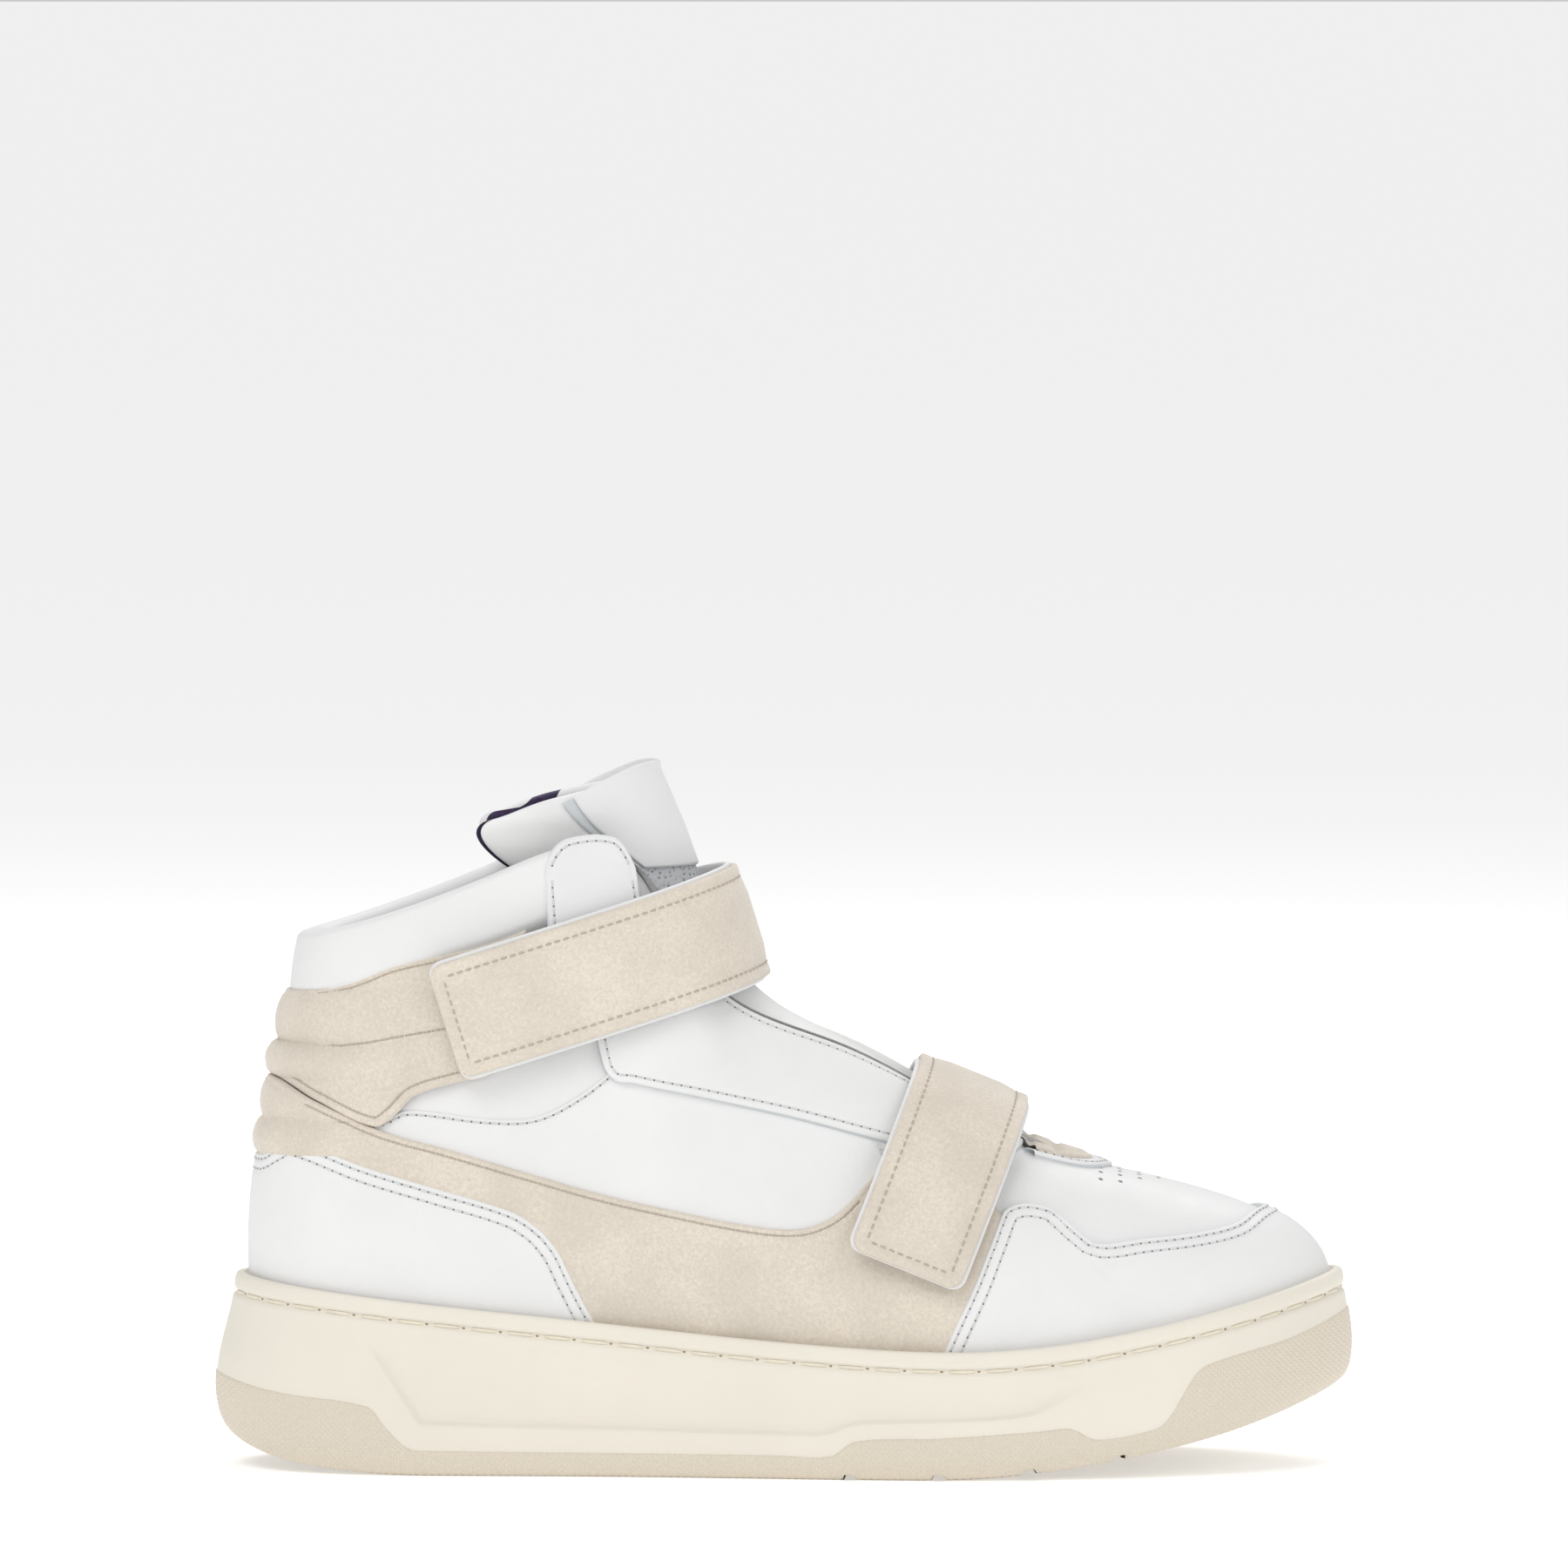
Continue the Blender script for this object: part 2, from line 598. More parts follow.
steel = Shader("spring_steel", (0.55, 0.56, 0.58), 0.3, Metallic=1.0)
steel = steel.bump(steel.noise(900, 2), 0.15, 0.03).material
board_fibre = plain("fibre_board", (0.45, 0.38, 0.29), 0.9, 1200)
stiff_sheet = plain("stiffener", (0.6, 0.58, 0.53), 0.6, 900)

HIDDEN_FINISHES = {"midsole_foam": foam, "shank": steel, "insole_board": board_fibre,
                   "heel_counter": stiff_sheet, "toe_puff": stiff_sheet, "collar_foam": foam}
for node, material in HIDDEN_FINISHES.items():
    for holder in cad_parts[node].material_slots:
        holder.material = material


# ---- sole ---------------------------------------------------------------------------------------

WALL_FLARE = [(0, 4.6), (0.05, 6.6), (0.14, 8.3), (0.3, 9.2), (0.5, 8.7), (0.8, 6.3), (0.92, 5.6),
              (1, 5.3), (1.4, 5.3)]
HALF_LENGTH = 145
HEEL_REACH = HALF_LENGTH + LATERAL_BASE[0][0]
TOE_REACH = HALF_LENGTH - LATERAL_BASE[-1][0]
# How far the wall stands out at the rim, and at its widest level.
RIM_FLARE = 5.3
WIDEST_FLARE = 9.2
# The lowest that any part of the sole comes to the floor.
FLOOR_GAP = 0.02
FEATHER = 2.9
RECESS_TOP = [(-104, 33.5), (-75, 31), (-46, 28.3), (0, 25.7), (75, 24.5)]
RECESS_LOW = [(-104, 13.4), (-91, 13.2), (9, 11.4), (13, 12), (19, 14.2), (40, 15), (60, 16.4),
              (76, 21)]
RECESS_DEPTH = 1.6
# How far below the rim the lip and its stitch channel end.
LIP_DROP = 6.6
GROOVES = [17.1, 39.3, 61.5, 83.7]


def wall_out(x, z):
    """How far the sole's outer wall stands outside the footprint at x and height z."""
    low, high = line_at(GROUND, x), line_at(RIM, x)
    share = np.maximum(0.0, (z - low) / (high - low))
    flare = line_at(WALL_FLARE, share)
    end = np.where(x < 0, HEEL_REACH, TOE_REACH)
    towards_end = np.clip((np.abs(x) - 70) / 65, 0, 1)
    widest = WIDEST_FLARE + (end - WIDEST_FLARE) * towards_end
    return RIM_FLARE + (flare - RIM_FLARE) * (widest - RIM_FLARE) / (WIDEST_FLARE - RIM_FLARE)


def sole_low(x):
    """The height of the sole's underside at x."""
    return np.maximum(line_at(GROUND, x), FLOOR_GAP)


def wall_point(k, z, extra):
    """Points of the sole's wall at station k and height z, moved outward by extra."""
    x = BASE.at(k)[..., 0]
    flat, outward = outline_at(k, wall_out(x, z) + extra)
    return np.concatenate([flat, np.asarray(z)[..., None]], axis=-1)


def recess(x, z):
    """How much of the long hollow in the side wall there is at a place, from 0 to 1."""
    below_top = smooth(0.0, 8.0, line_at(RECESS_TOP, x) + 2.0 - z)
    above_low = smooth(0.0, 0.9, z - line_at(RECESS_LOW, x))
    left = smooth(0.0, 1.1, x + 104 - (33 - z) * 0.63)
    right = smooth(0.0, 3.0, 75.5 - (24.2 - z) * 1.7 - x)
    return below_top * above_low * left * right


def round_stations(step):
    return np.linspace(0, MIDDLE, int(MIDDLE / step) + 1)[:-1]


def build_cup():
    """The cream cup: rim, lip, stitch channel and the wall down to the outsole."""
    k = round_stations(0.03 * FINE)
    x = BASE.at(k)[:, 0]
    rim_z, split = line_at(RIM, x), line_at(OUTSOLE_TOP, x)
    profile = [(FEATHER - 10.5, -1.4), (FEATHER - 5.8, -1.2), (FEATHER - 5.3, -0.5),
               (FEATHER - 5.1, -0.15), (FEATHER - 4.7, 0.0), (-1.2, 0.05), (-0.55, -0.12),
               (-0.2, -0.45), (0.0, -1.0),
               (0.12, -1.8), (0.12, -2.8), (0.0, -3.6), (-0.35, -4.1), (-0.85, -4.35),
               (-0.95, -4.8), (-0.9, -5.2), (-0.4, -5.5), (-0.05, -5.9), (0, -LIP_DROP)]
    rows = [wall_point(k, rim_z + dz, np.full(k.shape, out)) for out, dz in profile]
    for f in np.linspace(0.02, 1, int(56 / FINE)):
        z = rim_z - LIP_DROP + (split - 0.8 - rim_z + LIP_DROP) * f
        rows.append(wall_point(k, z, -RECESS_DEPTH * recess(x, z)))
    grid = np.stack(rows)
    return grid_piece("cup_wall", grid, cream_rubber, wrap_columns=True)


def build_outsole_wall():
    """The darker rubber that wraps up from below, with a serrated foot and flex grooves."""
    k = round_stations(0.02 * FINE)
    x = BASE.at(k)[:, 0]
    split, low = line_at(OUTSOLE_TOP, x), sole_low(x)
    reach = np.concatenate([[0], np.cumsum(np.linalg.norm(np.diff(BASE.at(k), axis=0), axis=1))])
    teeth = 0.5 + 0.5 * np.cos(reach * 2 * math.pi / 1.9)
    notch = np.zeros_like(x)
    for groove in GROOVES:
        notch = np.maximum(notch, 1 - smooth(1.0, 1.7, np.abs(x - groove)))
    rows = []
    for out, dz in ((-0.5, 0.25), (0.0, 0.15), (0.28, -0.1), (0.32, -0.5)):
        rows.append(wall_point(k, split + dz, np.full(k.shape, out)))
    for f in np.linspace(0, 1, int(22 / FINE)):
        z = split - 0.9 + (low + 1.4 - split + 0.9) * f
        rows.append(wall_point(k, z, 0.32 - 0.25 * recess(x, z)))
    for f, out in ((0.75, 0.32), (0.5, 0.3), (0.25, 0.15), (0.0, -0.3)):
        z = low + 1.4 * f + notch * 2.0 * (1 - f)
        rows.append(wall_point(k, z, out - 0.35 * teeth * (1 - f) - 0.9 * notch * (1 - f)))
    grid = np.stack(rows)
    return grid_piece("outsole_wall", grid, tinted_rubber, wrap_columns=True)


def tread(x, y):
    """Depth of the herringbone tread at a place on the sole, from 0 to 1."""
    zigzag = np.abs((y / 16.0) % 1.0 - 0.5) * 16.0
    phase = ((x + zigzag) / 6.4) % 1.0
    bar = smooth(0.06, 0.16, phase) * (1 - smooth(0.5, 0.6, phase))
    return 1 - bar


def build_tread():
    """The underside: a flat margin round a herringbone field, cut across by the flex grooves."""
    k = np.concatenate([np.linspace(0.03, 0.9, 24), np.linspace(0.93, 9.07, int(330 / FINE)),
                        np.linspace(9.1, 9.97, 24)])
    w = np.linspace(0, 1, int(110 / FINE))
    x_left, x_right = BASE.at(k)[:, 0], BASE.at(MIDDLE - k)[:, 0]
    zero = np.zeros_like(k)
    left = wall_point(k, sole_low(x_left), zero - 0.3)
    right = wall_point(MIDDLE - k, sole_low(x_right), zero - 0.3)
    grid = left[:, None] * (1 - w)[None, :, None] + right[:, None] * w[None, :, None]
    x, y = grid[..., 0], grid[..., 1]
    wide = np.linalg.norm(right - left, axis=1)[:, None]
    to_edge = np.minimum(w, 1 - w)[None, :] * wide
    to_tip = (np.minimum(k, STATIONS - k) * 16)[:, None]
    field = smooth(5.0, 6.2, np.minimum(to_edge, to_tip))
    z = sole_low(x) + 1.3 * field * tread(x, y)
    for groove in GROOVES:
        z = np.maximum(z, sole_low(x) + 2.0 * (1 - smooth(1.0, 1.7, np.abs(x - groove))))
    grid[..., 2] = z
    return grid_piece("outsole_tread", grid, tread_rubber)


cup_wall = build_cup()
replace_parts(cup_wall, "cupsole")
outsole_wall = build_outsole_wall()
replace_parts(outsole_wall, "outsole")
build_tread()


def sew_sidewall():
    """The cupsole's long stitches in their channel, each between two needle holes."""
    k = np.linspace(0, MIDDLE, 1600)
    x = BASE.at(k)[:, 0]
    z = line_at(RIM, x) - 4.85
    line = wall_point(k, z, np.full(k.shape, -0.93))
    _, outward = outline_at(k, np.zeros_like(k))
    normals = np.concatenate([outward, np.zeros((len(k), 1))], axis=1)
    stitches = Thread("sidewall_stitches", sole_thread)
    stitches.sew(line, normals, pitch=9.4, length=7.2, radius=0.52, sink=-0.1)
    holes = Thread("sidewall_needle_holes", sole_hole)
    shifted = np.roll(line[:-1], -13, axis=0)
    holes.sew(shifted, normals[:-1], pitch=9.4, length=1.3, radius=0.42, sink=0.75)
    return stitches.finish(), holes.finish()


sew_sidewall()


# ---- upper --------------------------------------------------------------------------------------

# Inner and outer faces of each layer, measured outward from the upper's surface.
TOP = (-1.6, 0.4)
MIDDLE_LAYER = (-1.7, -0.15)
BASE_LAYER = (-4.6, -1.45)
LINING_DEPTH = -5.15

HEEL_RIBS = [(99.8, 108.6), (108.6, 122.5)]
BAND_RIBS = [(80.0, 89.2), (89.2, 100.5)]


def ribs(z, rows, height):
    """Rounded padded ribs, one between each pair of levels."""
    total = np.zeros_like(z)
    for low, high in rows:
        share = np.clip((z - low) / (high - low), 0, 1)
        total += height * np.sin(math.pi * share)**0.55
    return total


def towards_heel(k):
    """1 at the middle of the heel, fading to 0 along both sides."""
    around = np.minimum(k % MIDDLE, MIDDLE - k % MIDDLE)
    return 1 - smooth(0.8, 2.6, around)


def heel_ribs(points, k):
    side = towards_heel(k)
    quilting = np.exp(-((points[..., 2] - line_at(QUILT_LINE, points[..., 0])) / 1.1)**2)
    padding = side * ribs(points[..., 2], HEEL_RIBS, 2.7)
    return padding + (1 - side) * 0.6 - 0.5 * quilting * (1 - side)


def band_ribs(points, k):
    return towards_heel(k) * ribs(points[..., 2], BAND_RIBS, 2.0)


def throat_ribs(points, _):
    """Two padded ribs that cross the throat."""
    valleys = sum(np.exp(-((points[..., 0] - level) / 0.9)**2) for level in (62.5, 69.4))
    return 0.9 - 1.1 * valleys


def throat_low(k):
    return 0.93 - 0.065 * smooth(0.2, 1.1, np.abs(k - STATIONS))


def throat_rim(k):
    return throat_low(k) - 0.035


def tab_top(k):
    """The collar tab stands over the opening's edge, with rounded corners."""
    around = np.minimum(k, MIDDLE - k)
    corner = np.clip(np.abs(around - 4.16) / 0.56 - 0.5, 0, 0.5) / 0.5
    return 1.035 - 0.06 * (1 - np.sqrt(1 - corner**2))


upper_thread = Thread("upper_stitches", thread)
suede_thread = Thread("suede_stitches", cream_thread)
needle_holes = Thread("needle_holes", dark_hole)
suede_holes = Thread("suede_needle_holes", suede_hole)


def sew_row(spool, line, normals):
    """A row of stitches with a needle hole between each two."""
    holes = suede_holes if spool is suede_thread else needle_holes
    spool.sew(line, normals)
    holes.sew(line, normals, length=0.6, radius=0.26, sink=0.15, phase=0.0)


def sew_panel(panel, low, high, ends, spool):
    for inset in low:
        sew_row(spool, *panel.seam("low", inset))
    for inset in high:
        sew_row(spool, *panel.seam("high", inset))
    for inset in ends:
        sew_row(spool, *panel.end_seam("first", inset))
        sew_row(spool, *panel.end_seam("last", inset))


def add_panel(name, material, k0, k1, low, high, depths, nodes, low_seams=(), high_seams=(),
              end_seams=(), spool=upper_thread, **shape):
    panel = Panel(k0, k1, low, high, *depths, low_seams=low_seams, high_seams=high_seams,
                  end_seams=end_seams, **shape)
    piece = grid_piece(name, panel.grid, material, marked=panel.cut,
                       marked_material=cream_suede if material is cream_suede else raw_edge)
    if nodes:
        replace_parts(piece, *nodes)
    sew_panel(panel, low_seams, high_seams, end_seams, spool)
    return panel


def add_pair(name, material, k0, k1, *rest, **shape):
    """A lateral panel and its medial twin."""
    add_panel("lateral_" + name, material, k0, k1, *rest, nodes=["lateral_" + name], **shape)
    add_panel("medial_" + name, material, MIDDLE - k1, MIDDLE - k0, *rest,
              nodes=["medial_" + name], **shape)


add_panel("vamp", white_leather, 6.9, 13.1, None, None, BASE_LAYER, ["vamp"], ends=False)
add_pair("quarter", white_leather, -0.05, 7.0, None, QUARTER_TOP, BASE_LAYER, high_seams=[1.6],
         ends=False)
add_pair("ankle_side", white_leather, -0.05, 6.2, [(x, z - 3) for x, z in QUARTER_TOP], None,
         (-4.6, -1.9), ends=False)
add_pair("saddle_band", cream_suede, -0.02, 8.2, None, BAND_TOP, MIDDLE_LAYER, high_seams=[1.7],
         ends=False, relief=band_ribs, seam_reach=19.0, spool=suede_thread)
ankle_suede = add_panel("ankle_panel", cream_suede, -3.4, 3.4, SUEDE_LOW, COLLAR_LOW, (-1.7, 0.2),
                        ["ankle_panel"], low_seams=[2.4], high_seams=[1.6], relief=heel_ribs,
                        spool=suede_thread)
sew_row(suede_thread, *ankle_suede.side_seam(QUILT_LINE, -3.1, 3.1))
add_panel("throat_insert", cream_suede, 8.7, 11.3, throat_low, None, MIDDLE_LAYER,
          ["throat_insert"], ends=False, relief=throat_ribs)
add_panel("throat_binding", white_leather, 8.6, 11.4, throat_rim, throat_low, (-1.7, 0.0), [],
          low_seams=[1.5], ends=False)
add_panel("heel_overlay", white_leather, -4.9, 4.9, None, HEEL_COVER_TOP, TOP,
          ["heel_overlay"], high_seams=[1.6, 4.1], ends=False)
add_panel("toe_mudguard", white_leather, 6.5, 13.5, None, MUDGUARD_TOP, TOP,
          ["toe_mudguard"], high_seams=[1.6, 4.1], ends=False)
add_pair("eyestay", white_leather, 3.98, 8.9, EYESTAY_LOW, EYESTAY_TOP, TOP, low_seams=[2.0],
         high_seams=[2.2], ends=False)
add_pair("collar_tab", tab_leather, 3.6, 4.72, TAB_LOW, tab_top, (-0.6, 2.9), low_seams=[1.5],
         high_seams=[1.9], end_seams=[1.9])
PATCH_DEPTHS = (-1.6, 1.2)
add_panel("ankle_loop_patch", loop_pile, 2.9, 4.1, [(-150, 112), (0, 112)],
          [(-150, 128), (0, 128)], PATCH_DEPTHS, ["ankle_loop_patch"])
add_panel("forefoot_loop_patch", loop_pile, 6.72, 7.15, [(0, 60), (60, 54)],
          [(0, 73), (60, 66)], PATCH_DEPTHS, ["forefoot_loop_patch"])


def rolled_edge(name, k0, k1, outer, inner, rise, material, low_line=None, swell=0.0, inside=0.1):
    """Leather or padding that turns over the opening's edge and a little way down inside."""
    k = np.linspace(k0, k1, int((k1 - k0) / (0.05 * FINE)))
    rows = []
    if low_line is not None:
        low = climb_to(k, low_line)
        for f in np.linspace(0, 1, 26):
            points, normals, _ = skin_frame(k, low + (1 - low) * f)
            depth = -2.2 + (outer + 2.2) * smooth(0.0, 0.3, f) + swell * math.sin(math.pi / 2 * f)
            rows.append(points + normals * depth)
    points, normals, up = skin_frame(k, np.ones_like(k))
    crown = outer + swell
    middle, radius = (crown + inner) / 2, (crown - inner) / 2
    for angle in np.linspace(0.12, math.pi, 13):
        rows.append(points + normals * (middle + radius * math.cos(angle))
                    + up * (rise * math.sin(angle)))
    for f in np.linspace(0.02, inside, 5):
        points, normals, _ = skin_frame(k, np.full_like(k, 1 - f))
        rows.append(points + normals * inner)
    return grid_piece(name, np.stack(rows), material)


collar = rolled_edge("collar_cushion", -4.4, 4.4, 0.2, -5.3, 2.6, white_leather,
                     [(x, z - 4) for x, z in COLLAR_LOW], 2.1)
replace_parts(collar, "collar_pad")
rolled_edge("throat_edge", 4.4, MIDDLE - 4.4, 0.7, -5.0, 0.8, white_leather, inside=0.03)


def build_lining():
    """The dark knit that lines the shoe all round."""
    k = round_stations(0.08 * FINE)
    rows = []
    for t in np.linspace(0.0, 0.985, int(60 / FINE)):
        points, normals, _ = skin_frame(k, np.full_like(k, t))
        rows.append(points + normals * LINING_DEPTH)
    return grid_piece("lining", np.stack(rows), lining_knit, wrap_columns=True)


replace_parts(build_lining(), "collar_lining", "vamp_lining")


def build_footbed():
    """The removable footbed: a knit top that is dished under the heel and rises at its edges."""
    k = np.linspace(0.05, 9.95, int(150 / FINE))
    w = np.linspace(0, 1, int(50 / FINE))
    left, _ = outline_at(k, np.full_like(k, -6.6))
    right, _ = outline_at(MIDDLE - k, np.full_like(k, -6.6))
    flat = left[:, None] * (1 - w)[None, :, None] + right[:, None] * w[None, :, None]
    across = np.abs(2 * w - 1)[None, :]
    z = line_at(RIM, flat[..., 0]) - RIM_SINK + 4.2 + 1.8 * across**6
    grid = np.concatenate([flat, z[..., None]], axis=-1)
    piece = grid_piece("footbed_top", grid, lining_knit)
    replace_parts(piece, "footbed")


build_footbed()


def perforate(rows, spacing=4.6, radius=0.6):
    """Ventilation holes in rows across the toe, each row with its place and its reach to a side."""
    k, t = np.meshgrid(np.linspace(8.2, 11.8, 500), np.linspace(0.3, 0.99, 400), indexing="ij")
    points, normals, _ = skin_frame(k, t)
    points, normals = points.reshape(-1, 3), normals.reshape(-1, 3)
    made, faces = [], []
    for index, (x, reach) in enumerate(rows):
        for n in range(-int(reach / spacing), int(reach / spacing) + 1):
            y = (n + 0.5 * (index % 2)) * spacing
            nearest = np.argmin((points[:, 0] - x)**2 + (points[:, 1] - y)**2)
            normal = normals[nearest]
            centre = points[nearest] + normal * (BASE_LAYER[1] + 0.03)
            side = unit(np.cross(normal, [0, 1, 0]))
            other = np.cross(normal, side)
            start = len(made)
            for angle in np.linspace(0, 2 * math.pi, 12, endpoint=False):
                made.append(centre + (side * math.cos(angle) + other * math.sin(angle)) * radius)
            faces.append(tuple(range(start, start + 12)))
    return make_piece("toe_perforations", made, faces, dark_hole)


perforate([(81, 19), (86, 19), (91, 12), (96, 8)])


# ---- straps -------------------------------------------------------------------------------------

STRAP_HALF = 14.75
# The row of stitches: how far inside the strap's edge, and how far out from its inner face.
STRAP_SEAM = 3.3
STITCH_HEIGHT = 2.95
ANKLE_LINE = [(-44, -37), (-30, -36.9), (-16, -36.4), (-2, -35.4), (6, -34.3), (14, -32.2),
              (22, -27.6), (29, -19.6), (33.2, -10.4), (34.8, 0)]
FOREFOOT_LINE = [(-25, -46.6), (-14.5, -43.8), (-4, -39.8), (4, -35.6), (11, -29.8), (17, -22.2),
                 (20.8, -12), (21.9, 0)]


class StrapLine:
    """The inner face of a strap seen along its width, from the free end to the sewn end."""

    def __init__(self, half, origin, forward):
        points = np.array(half + [(a, -b) for a, b in reversed(half[:-1])], float)
        chord = np.concatenate([[0], np.cumsum(np.linalg.norm(np.diff(points, axis=0), axis=1))])
        dense = np.linspace(0, chord[-1], 3000)
        curve = np.stack([self._spline(chord, points[:, c], dense) for c in (0, 1)], axis=1)
        steps = np.linalg.norm(np.diff(curve, axis=0), axis=1)
        self.reach = np.concatenate([[0], np.cumsum(steps)])
        self.curve = curve
        run = unit(np.gradient(curve, axis=0))
        self.outward = np.stack([run[:, 1], -run[:, 0]], axis=1)
        self.length = self.reach[-1]
        self.origin = np.array(origin, float)
        self.forward = unit(np.array(forward, float))
        self.across = np.array([0.0, 1.0, 0.0])
        self.width = np.cross(self.forward, self.across)

    @staticmethod
    def _spline(x, y, at):
        """A natural cubic through the points (x, y)."""
        h = np.diff(x)
        size = len(x)
        system = np.eye(size)
        right = np.zeros(size)
        for i in range(1, size - 1):
            system[i, i - 1:i + 2] = h[i - 1], 2 * (h[i - 1] + h[i]), h[i]
            right[i] = 6 * ((y[i + 1] - y[i]) / h[i] - (y[i] - y[i - 1]) / h[i - 1])
        bends = np.linalg.solve(system, right)
        i = np.clip(np.searchsorted(x, at, side="right") - 1, 0, size - 2)
        a, b = (x[i + 1] - at), (at - x[i])
        return (bends[i] * a**3 + bends[i + 1] * b**3) / (6 * h[i]) + (
            (y[i] / h[i] - bends[i] * h[i] / 6) * a + (y[i + 1] / h[i] - bends[i + 1] * h[i] / 6) * b)

    def at(self, s, w, depth):
        """Places on the strap: s along it, w across its width and depth out from the inner face."""
        s, w, depth = np.broadcast_arrays(np.asarray(s, float), np.asarray(w, float), depth)
        flat = [np.interp(s, self.reach, self.curve[:, c])
                + depth * np.interp(s, self.reach, self.outward[:, c]) for c in (0, 1)]
        return (self.origin + flat[0][..., None] * self.forward + flat[1][..., None] * self.across
                + w[..., None] * self.width)

    def outward_at(self, s):
        flat = [np.interp(s, self.reach, self.outward[:, c]) for c in (0, 1)]
        return unit(flat[0][..., None] * self.forward + flat[1][..., None] * self.across)


def strap_layer(name, line, start, end, half, low, high, material, free_start, free_end,
                stitched=False):
    """One layer of a strap between two distances along it, closed all round its edges."""
    corner = 3.5
    s = np.linspace(start, end, int((end - start) / (1.0 * FINE)) + 2)
    near = np.array([0, 0.05, 0.2, 0.45, 0.8, 1.4, 2.2])
    if free_start:
        s = np.concatenate([start + near, s[s > start + 2.6]])
    if free_end:
        s = np.concatenate([s[s < end - 2.6], end - near[::-1]])
    from_end = np.full_like(s, 99.0)
    if free_start:
        from_end = np.minimum(from_end, s - start)
    if free_end:
        from_end = np.minimum(from_end, end - s)
    bite = np.clip(corner - from_end, 0, corner)
    wide = half - corner + np.sqrt(np.maximum(corner**2 - bite**2, 0))
    inset = np.concatenate([near[:-1], [2.2, 2.7, 3.3, 3.9, 4.6, 6, 8, 10.5]])
    fraction = np.concatenate([-(half - inset), [0], (half - inset)[::-1]]) / half
    w = wide[:, None] * fraction[None, :]
    to_side = wide[:, None] - np.abs(w)
    to_edge = np.minimum(to_side, from_end[:, None])
    rise = rounding(to_edge, min(0.8, (high - low) / 2))
    middle = (low + high) / 2
    top = middle + (high - middle) * rise
    if stitched:
        top = top + 0.5 * smooth(3.4, 8.5, to_edge) - 0.35 * np.exp(-((to_edge - STRAP_SEAM) / 0.6)**2)
    bottom = middle - (middle - low) * rise
    loop_w = np.concatenate([w, w[:, ::-1]], axis=1)
    loop_d = np.concatenate([top, bottom[:, ::-1]], axis=1)
    grid = line.at(s[:, None], loop_w, loop_d)
    return grid_piece(name, grid, material, body=None, wrap_columns=True)


def sew_strap(name, line, start, end, across_start, across_end, spool_material):
    """Two long rows near the strap's sides, joined across its free ends."""
    spool = Thread(name, spool_material, body=None)
    inset = STRAP_SEAM
    s = np.linspace(start + (inset if across_start else 0), end - (inset if across_end else 0), 200)
    for side in (-1, 1):
        w = np.full_like(s, side * (STRAP_HALF - inset))
        spool.sew(line.at(s, w, STITCH_HEIGHT), line.outward_at(s))
    w = np.linspace(-(STRAP_HALF - inset), STRAP_HALF - inset, 60)
    for place, wanted in ((start + inset, across_start), (end - inset, across_end)):
        if wanted:
            at = np.full_like(w, place)
            spool.sew(line.at(at, w, STITCH_HEIGHT), line.outward_at(at))
    return spool.finish()


def build_strap(name, half, origin, forward, tab_length, anchor_length, bend=11.0):
    """A strap in two sewn halves that meet on the crest, each bending over its own hinge."""
    line = StrapLine(half, origin, forward)
    crest = line.length / 2
    band, tab = name + "_band", name + "_tab"
    hinge = line.length - anchor_length
    halves = [("tab_half", 0, crest, True, False, tab_length, (band, tab)),
              ("band_half", crest, line.length - 1, False, True, hinge, ("shoe", band))]
    for part, start, end, free_start, free_end, joint, bodies in halves:
        title = name + "_strap_" + part
        made = [
            strap_layer(title + "_suede", line, start, end, STRAP_HALF, 1.4, 3.2, cream_suede,
                        free_start, free_end, True),
            strap_layer(title + "_backing", line, start, end, STRAP_HALF + 0.9, 0.1, 1.4,
                        white_leather, free_start, free_end),
            sew_strap(title + "_stitches", line, start, end, free_start, free_end, cream_thread),
        ]
        sewn_side, free_side = (tuple(line.at(joint + step, 0, 2.0) * MM) for step in (bend, -bend))
        for piece in made:
            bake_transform(piece)
        if part == "band_half":
            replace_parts(made[0], name + "_strap_band", name + "_strap_anchor")
        else:
            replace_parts(made[0], name + "_strap_tab")
    s = np.linspace(3.5, tab_length - 4, 40)
    w = np.linspace(-10.5, 10.5, 24)
    patch = grid_piece(name + "_hook_patch", line.at(s[:, None], w[None, :], -0.25), hook_tape, tab)
    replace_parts(patch, name + "_hook_patch")


build_strap("ankle", ANKLE_LINE, (-43.9, 0, 128), (0.954, 0, 0.2998), 49, 46)
build_strap("forefoot", FOREFOOT_LINE, (39.5, 0, 76), (0.3746, 0, 0.9272), 28, 30, bend=9.0)


# ---- tongue -------------------------------------------------------------------------------------

# Front face of the tongue on the middle plane: x, z, half its width, how far its edges sit back,
# how many degrees of an ellipse its section spans to each side, and how far its edges drop.
TONGUE = [(66, 78.5, 8, 0, 50, 3), (56, 85, 13, 1, 50, 5), (46, 91, 17, 2, 50, 8),
          (38, 95.5, 19, 3, 50, 9), (28, 101, 20.5, 4, 50, 10), (20, 106, 21, 4, 50, 11),
          (9.5, 111.5, 21, 5, 50, 11), (-1.5, 117.5, 20.5, 8, 50, 11), (-11, 126, 18.5, 13, 55, 7),
          (-17.3, 137, 17.5, 22, 64, 3), (-21, 147, 18.5, 38, 74, 1), (-24, 155, 20.5, 49, 82, 0),
          (-26.5, 162, 22, 51.5, 85, 1), (-29.5, 169, 23, 46, 86, 4), (-33, 177, 22.5, 37, 86, 9)]
TONGUE_LENGTH = 110
TONGUE_THICK = 5.0


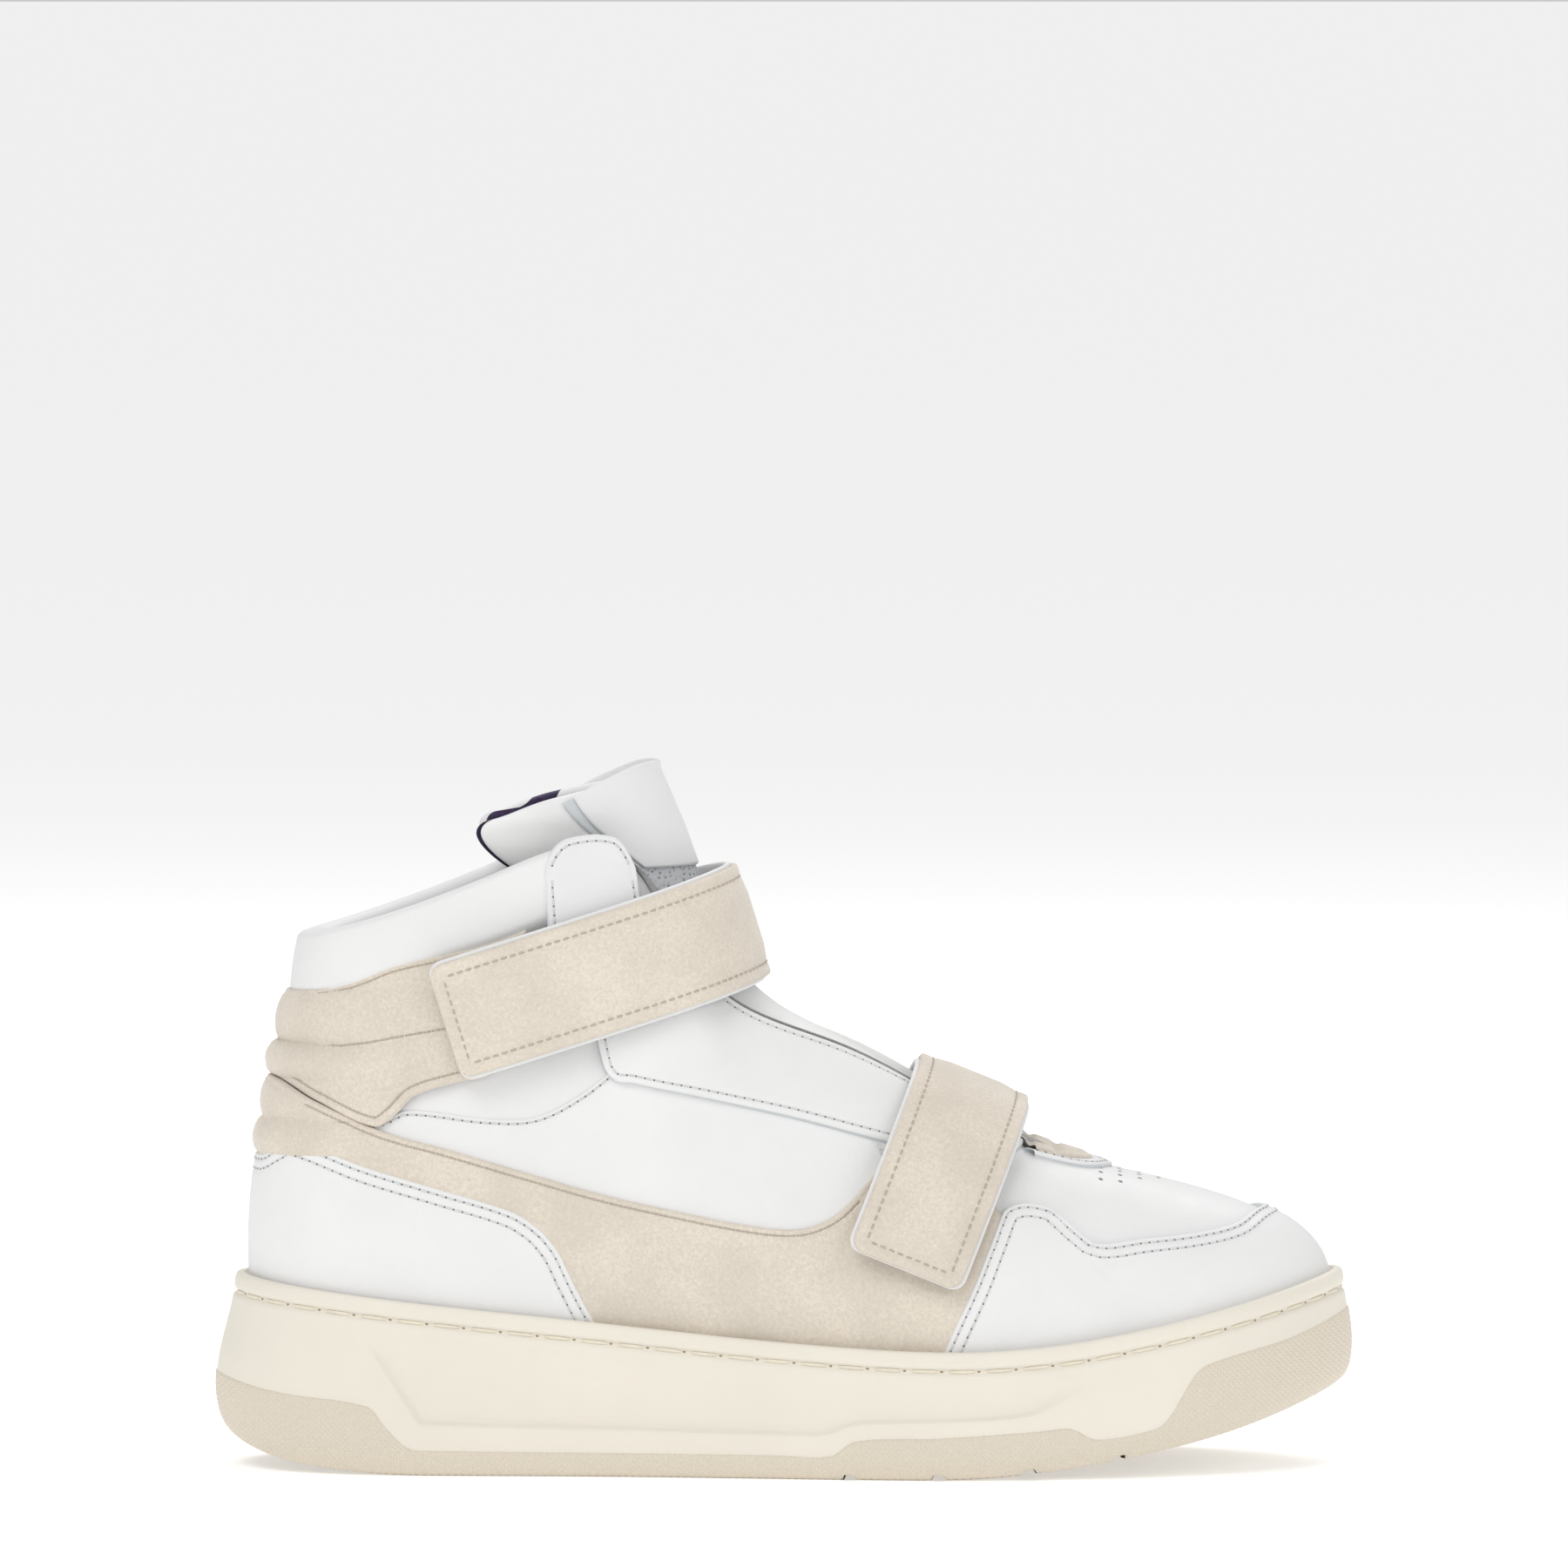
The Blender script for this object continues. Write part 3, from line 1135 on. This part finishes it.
def tongue_front(u, v):
    """Points of the tongue's front face at u up its length and v across it."""
    last = len(TONGUE) - 1
    x, z, half, back, span, drop = (line_at(list(enumerate(column)), u * last)
                                    for column in zip(*TONGUE))
    reach = np.radians(span)
    turn = (1 - np.cos(v * reach)) / (1 - np.cos(reach))
    return np.stack([x - back * turn, half * np.sin(v * reach) / np.sin(reach), z - drop * turn],
                    axis=-1)


def tongue_sheet(u, v, depth):
    """Points at a depth behind the tongue's front face."""
    along = tongue_front(np.minimum(u + 0.01, 1), v) - tongue_front(np.maximum(u - 0.01, 0), v)
    across = tongue_front(u, v + 0.02) - tongue_front(u, v - 0.02)
    normal = unit(np.cross(across, along))
    return tongue_front(u, v) - normal * np.asarray(depth)[..., None]


def tongue_half(name, front, reach, material, turned=None):
    """The front or the back of the padded tongue, down to its rounded edge."""
    u = np.concatenate([np.linspace(0, 0.95, int(110 / FINE)), np.linspace(0.955, 1, 22)])
    w = np.sin(np.linspace(-math.pi / 2, math.pi / 2, int(90 / FINE)))
    u, w = np.meshgrid(u, w, indexing="ij")
    corner = np.maximum(np.abs(w) - 0.82, 0) / 0.18
    top = 1 - 0.045 * (1 - np.sqrt(np.maximum(1 - corner**2, 0)))
    to_top = top * (1 - u) * TONGUE_LENGTH
    bulge = np.sqrt(np.maximum(1 - np.abs(w)**8, 0)) * rounding(to_top / 2.6, 1.0)
    depth = TONGUE_THICK / 2 * (1 - bulge if front else 1 + bulge)
    marked = None if turned is None else turned(face_least(u), face_least(w))
    return grid_piece(name, tongue_sheet(u * top, w * reach, depth), material, body=None,
                      marked=marked, marked_material=white_leather)


def turned_over(u, w):
    """Faces of the back that the leather turns over; a gap on the medial side bares the lining."""
    return ((u >= 0.95) & (np.abs(w) > 0.3) & ((w < 0.74) | (w > 0.89))) | (w > 0.97)


tongue_face = tongue_half("tongue_face", True, 0.986, white_leather)
tongue_back = tongue_half("tongue_back", False, 1.0, lining_knit, turned_over)
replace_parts(tongue_face, "tongue_shell", "tongue_base")
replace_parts(tongue_back, "tongue_lining")
for padded_piece in (tongue_face, tongue_back):
    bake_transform(padded_piece)


def tongue_patch(name, u0, u1, reach0, reach1, corner, low, high, material):
    """A sheet on the front of the tongue that widens upward and has rounded top corners."""
    share, w = np.meshgrid(np.linspace(0, 1, int(80 / FINE)),
                           np.sin(np.linspace(-math.pi / 2, math.pi / 2, int(70 / FINE))),
                           indexing="ij")
    top = u1 - corner * (1 - np.sqrt(np.maximum(1 - np.abs(w)**3, 0)))
    u = u0 + (top - u0) * share
    reach = reach0 + (reach1 - reach0) * share
    to_edge = np.minimum.reduce([(u - u0) * TONGUE_LENGTH, (top - u) * TONGUE_LENGTH,
                                 (1 - np.abs(w)) * reach * 45])
    rise = rounding(to_edge, 0.6)
    middle = (low + high) / 2
    outer = middle + (high - middle) * rise
    inner = middle - (middle - low) * rise
    height = np.concatenate([outer, inner[:, ::-1]], axis=1)
    u = np.concatenate([u, u[:, ::-1]], axis=1)
    w = np.concatenate([w * reach, (w * reach)[:, ::-1]], axis=1)
    sheet = tongue_sheet(np.minimum(u, 1), w, -height)
    standing = np.maximum(u - 1, 0) * TONGUE_LENGTH
    sheet[..., 2] += standing + 1.4 * smooth(0.88, 1.0, u) * np.exp(-((np.abs(w) - 0.35) / 0.25)**2)
    return grid_piece(name, sheet, material, "tongue")


tongue_patch("tongue_mesh", 0.6, 0.8, 0.5, 0.52, 0.01, 0.1, 0.7, grey_mesh)
tongue_patch("tongue_label_edge", 0.765, 0.992, 0.52, 0.745, 0.02, 0.1, 0.8, raw_edge)
label = tongue_patch("tongue_label", 0.765, 1.018, 0.49, 0.71, 0.03, 0.7, 1.7, tab_leather)
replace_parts(label, "tongue_label")
for spool in (needle_holes, suede_holes, upper_thread, suede_thread):
    spool.finish()


# ---- floor, light and camera --------------------------------------------------------------------

FLOOR_REACH = 150.0
FLOOR_GLOW = 0.34


def studio_floor():
    """A pale floor, wide enough that no view sees its edge, with a faint glow of its own."""
    paper = Shader("studio_paper", (0.9, 0.9, 0.9), 0.9, Emission_Color=(1, 1, 1, 1),
                   Emission_Strength=FLOOR_GLOW)
    sides = (-FLOOR_REACH / MM, FLOOR_REACH / MM)
    grid = np.array([[(x, y, 0.0) for y in sides] for x in sides])
    grid_piece("studio_floor", grid, paper.material, body=None)


def area_light(name, place, target, size, power):
    data = bpy.data.lights.new(name, "AREA")
    data.shape = "RECTANGLE"
    data.size, data.size_y = size
    data.energy = power
    lamp = bpy.data.objects.new(name, data)
    bpy.context.scene.collection.objects.link(lamp)
    lamp.location = place
    lamp.rotation_euler = (Vector(target) - Vector(place)).to_track_quat("-Z", "Y").to_euler()


def camera():
    """A long lens, three degrees above the floor, square on to the lateral side."""
    data = bpy.data.cameras.new("camera")
    distance, wide = 4.0, 0.3955
    data.sensor_width = 36
    data.lens = 36 * (distance - 0.046) / wide
    data.clip_end = 3 * FLOOR_REACH
    eye = bpy.data.objects.new("camera", data)
    bpy.context.scene.collection.objects.link(eye)
    tilt = math.radians(3)
    target = Vector((0, 0, 0.1736))
    eye.location = target + Vector((0, -distance * math.cos(tilt), distance * math.sin(tilt)))
    eye.rotation_euler = (target - eye.location).to_track_quat("-Z", "Y").to_euler()
    bpy.context.scene.camera = eye


studio_floor()
area_light("key", (-0.9, -1.5, 1.9), (0, 0, 0.08), (1.6, 1.2), 20)
area_light("fill", (1.6, -1.3, 1.0), (0, 0, 0.08), (1.4, 1.4), 7)
area_light("rim", (0.3, 1.3, 1.7), (0, 0, 0.1), (1.8, 0.9), 15)
world = bpy.data.worlds.new("studio")
world.use_nodes = True
world.node_tree.nodes["Background"].inputs["Color"].default_value = (1, 1, 1, 1)
world.node_tree.nodes["Background"].inputs["Strength"].default_value = 0.58
bpy.context.scene.world = world
camera()
bpy.context.scene.view_settings.view_transform = "Standard"
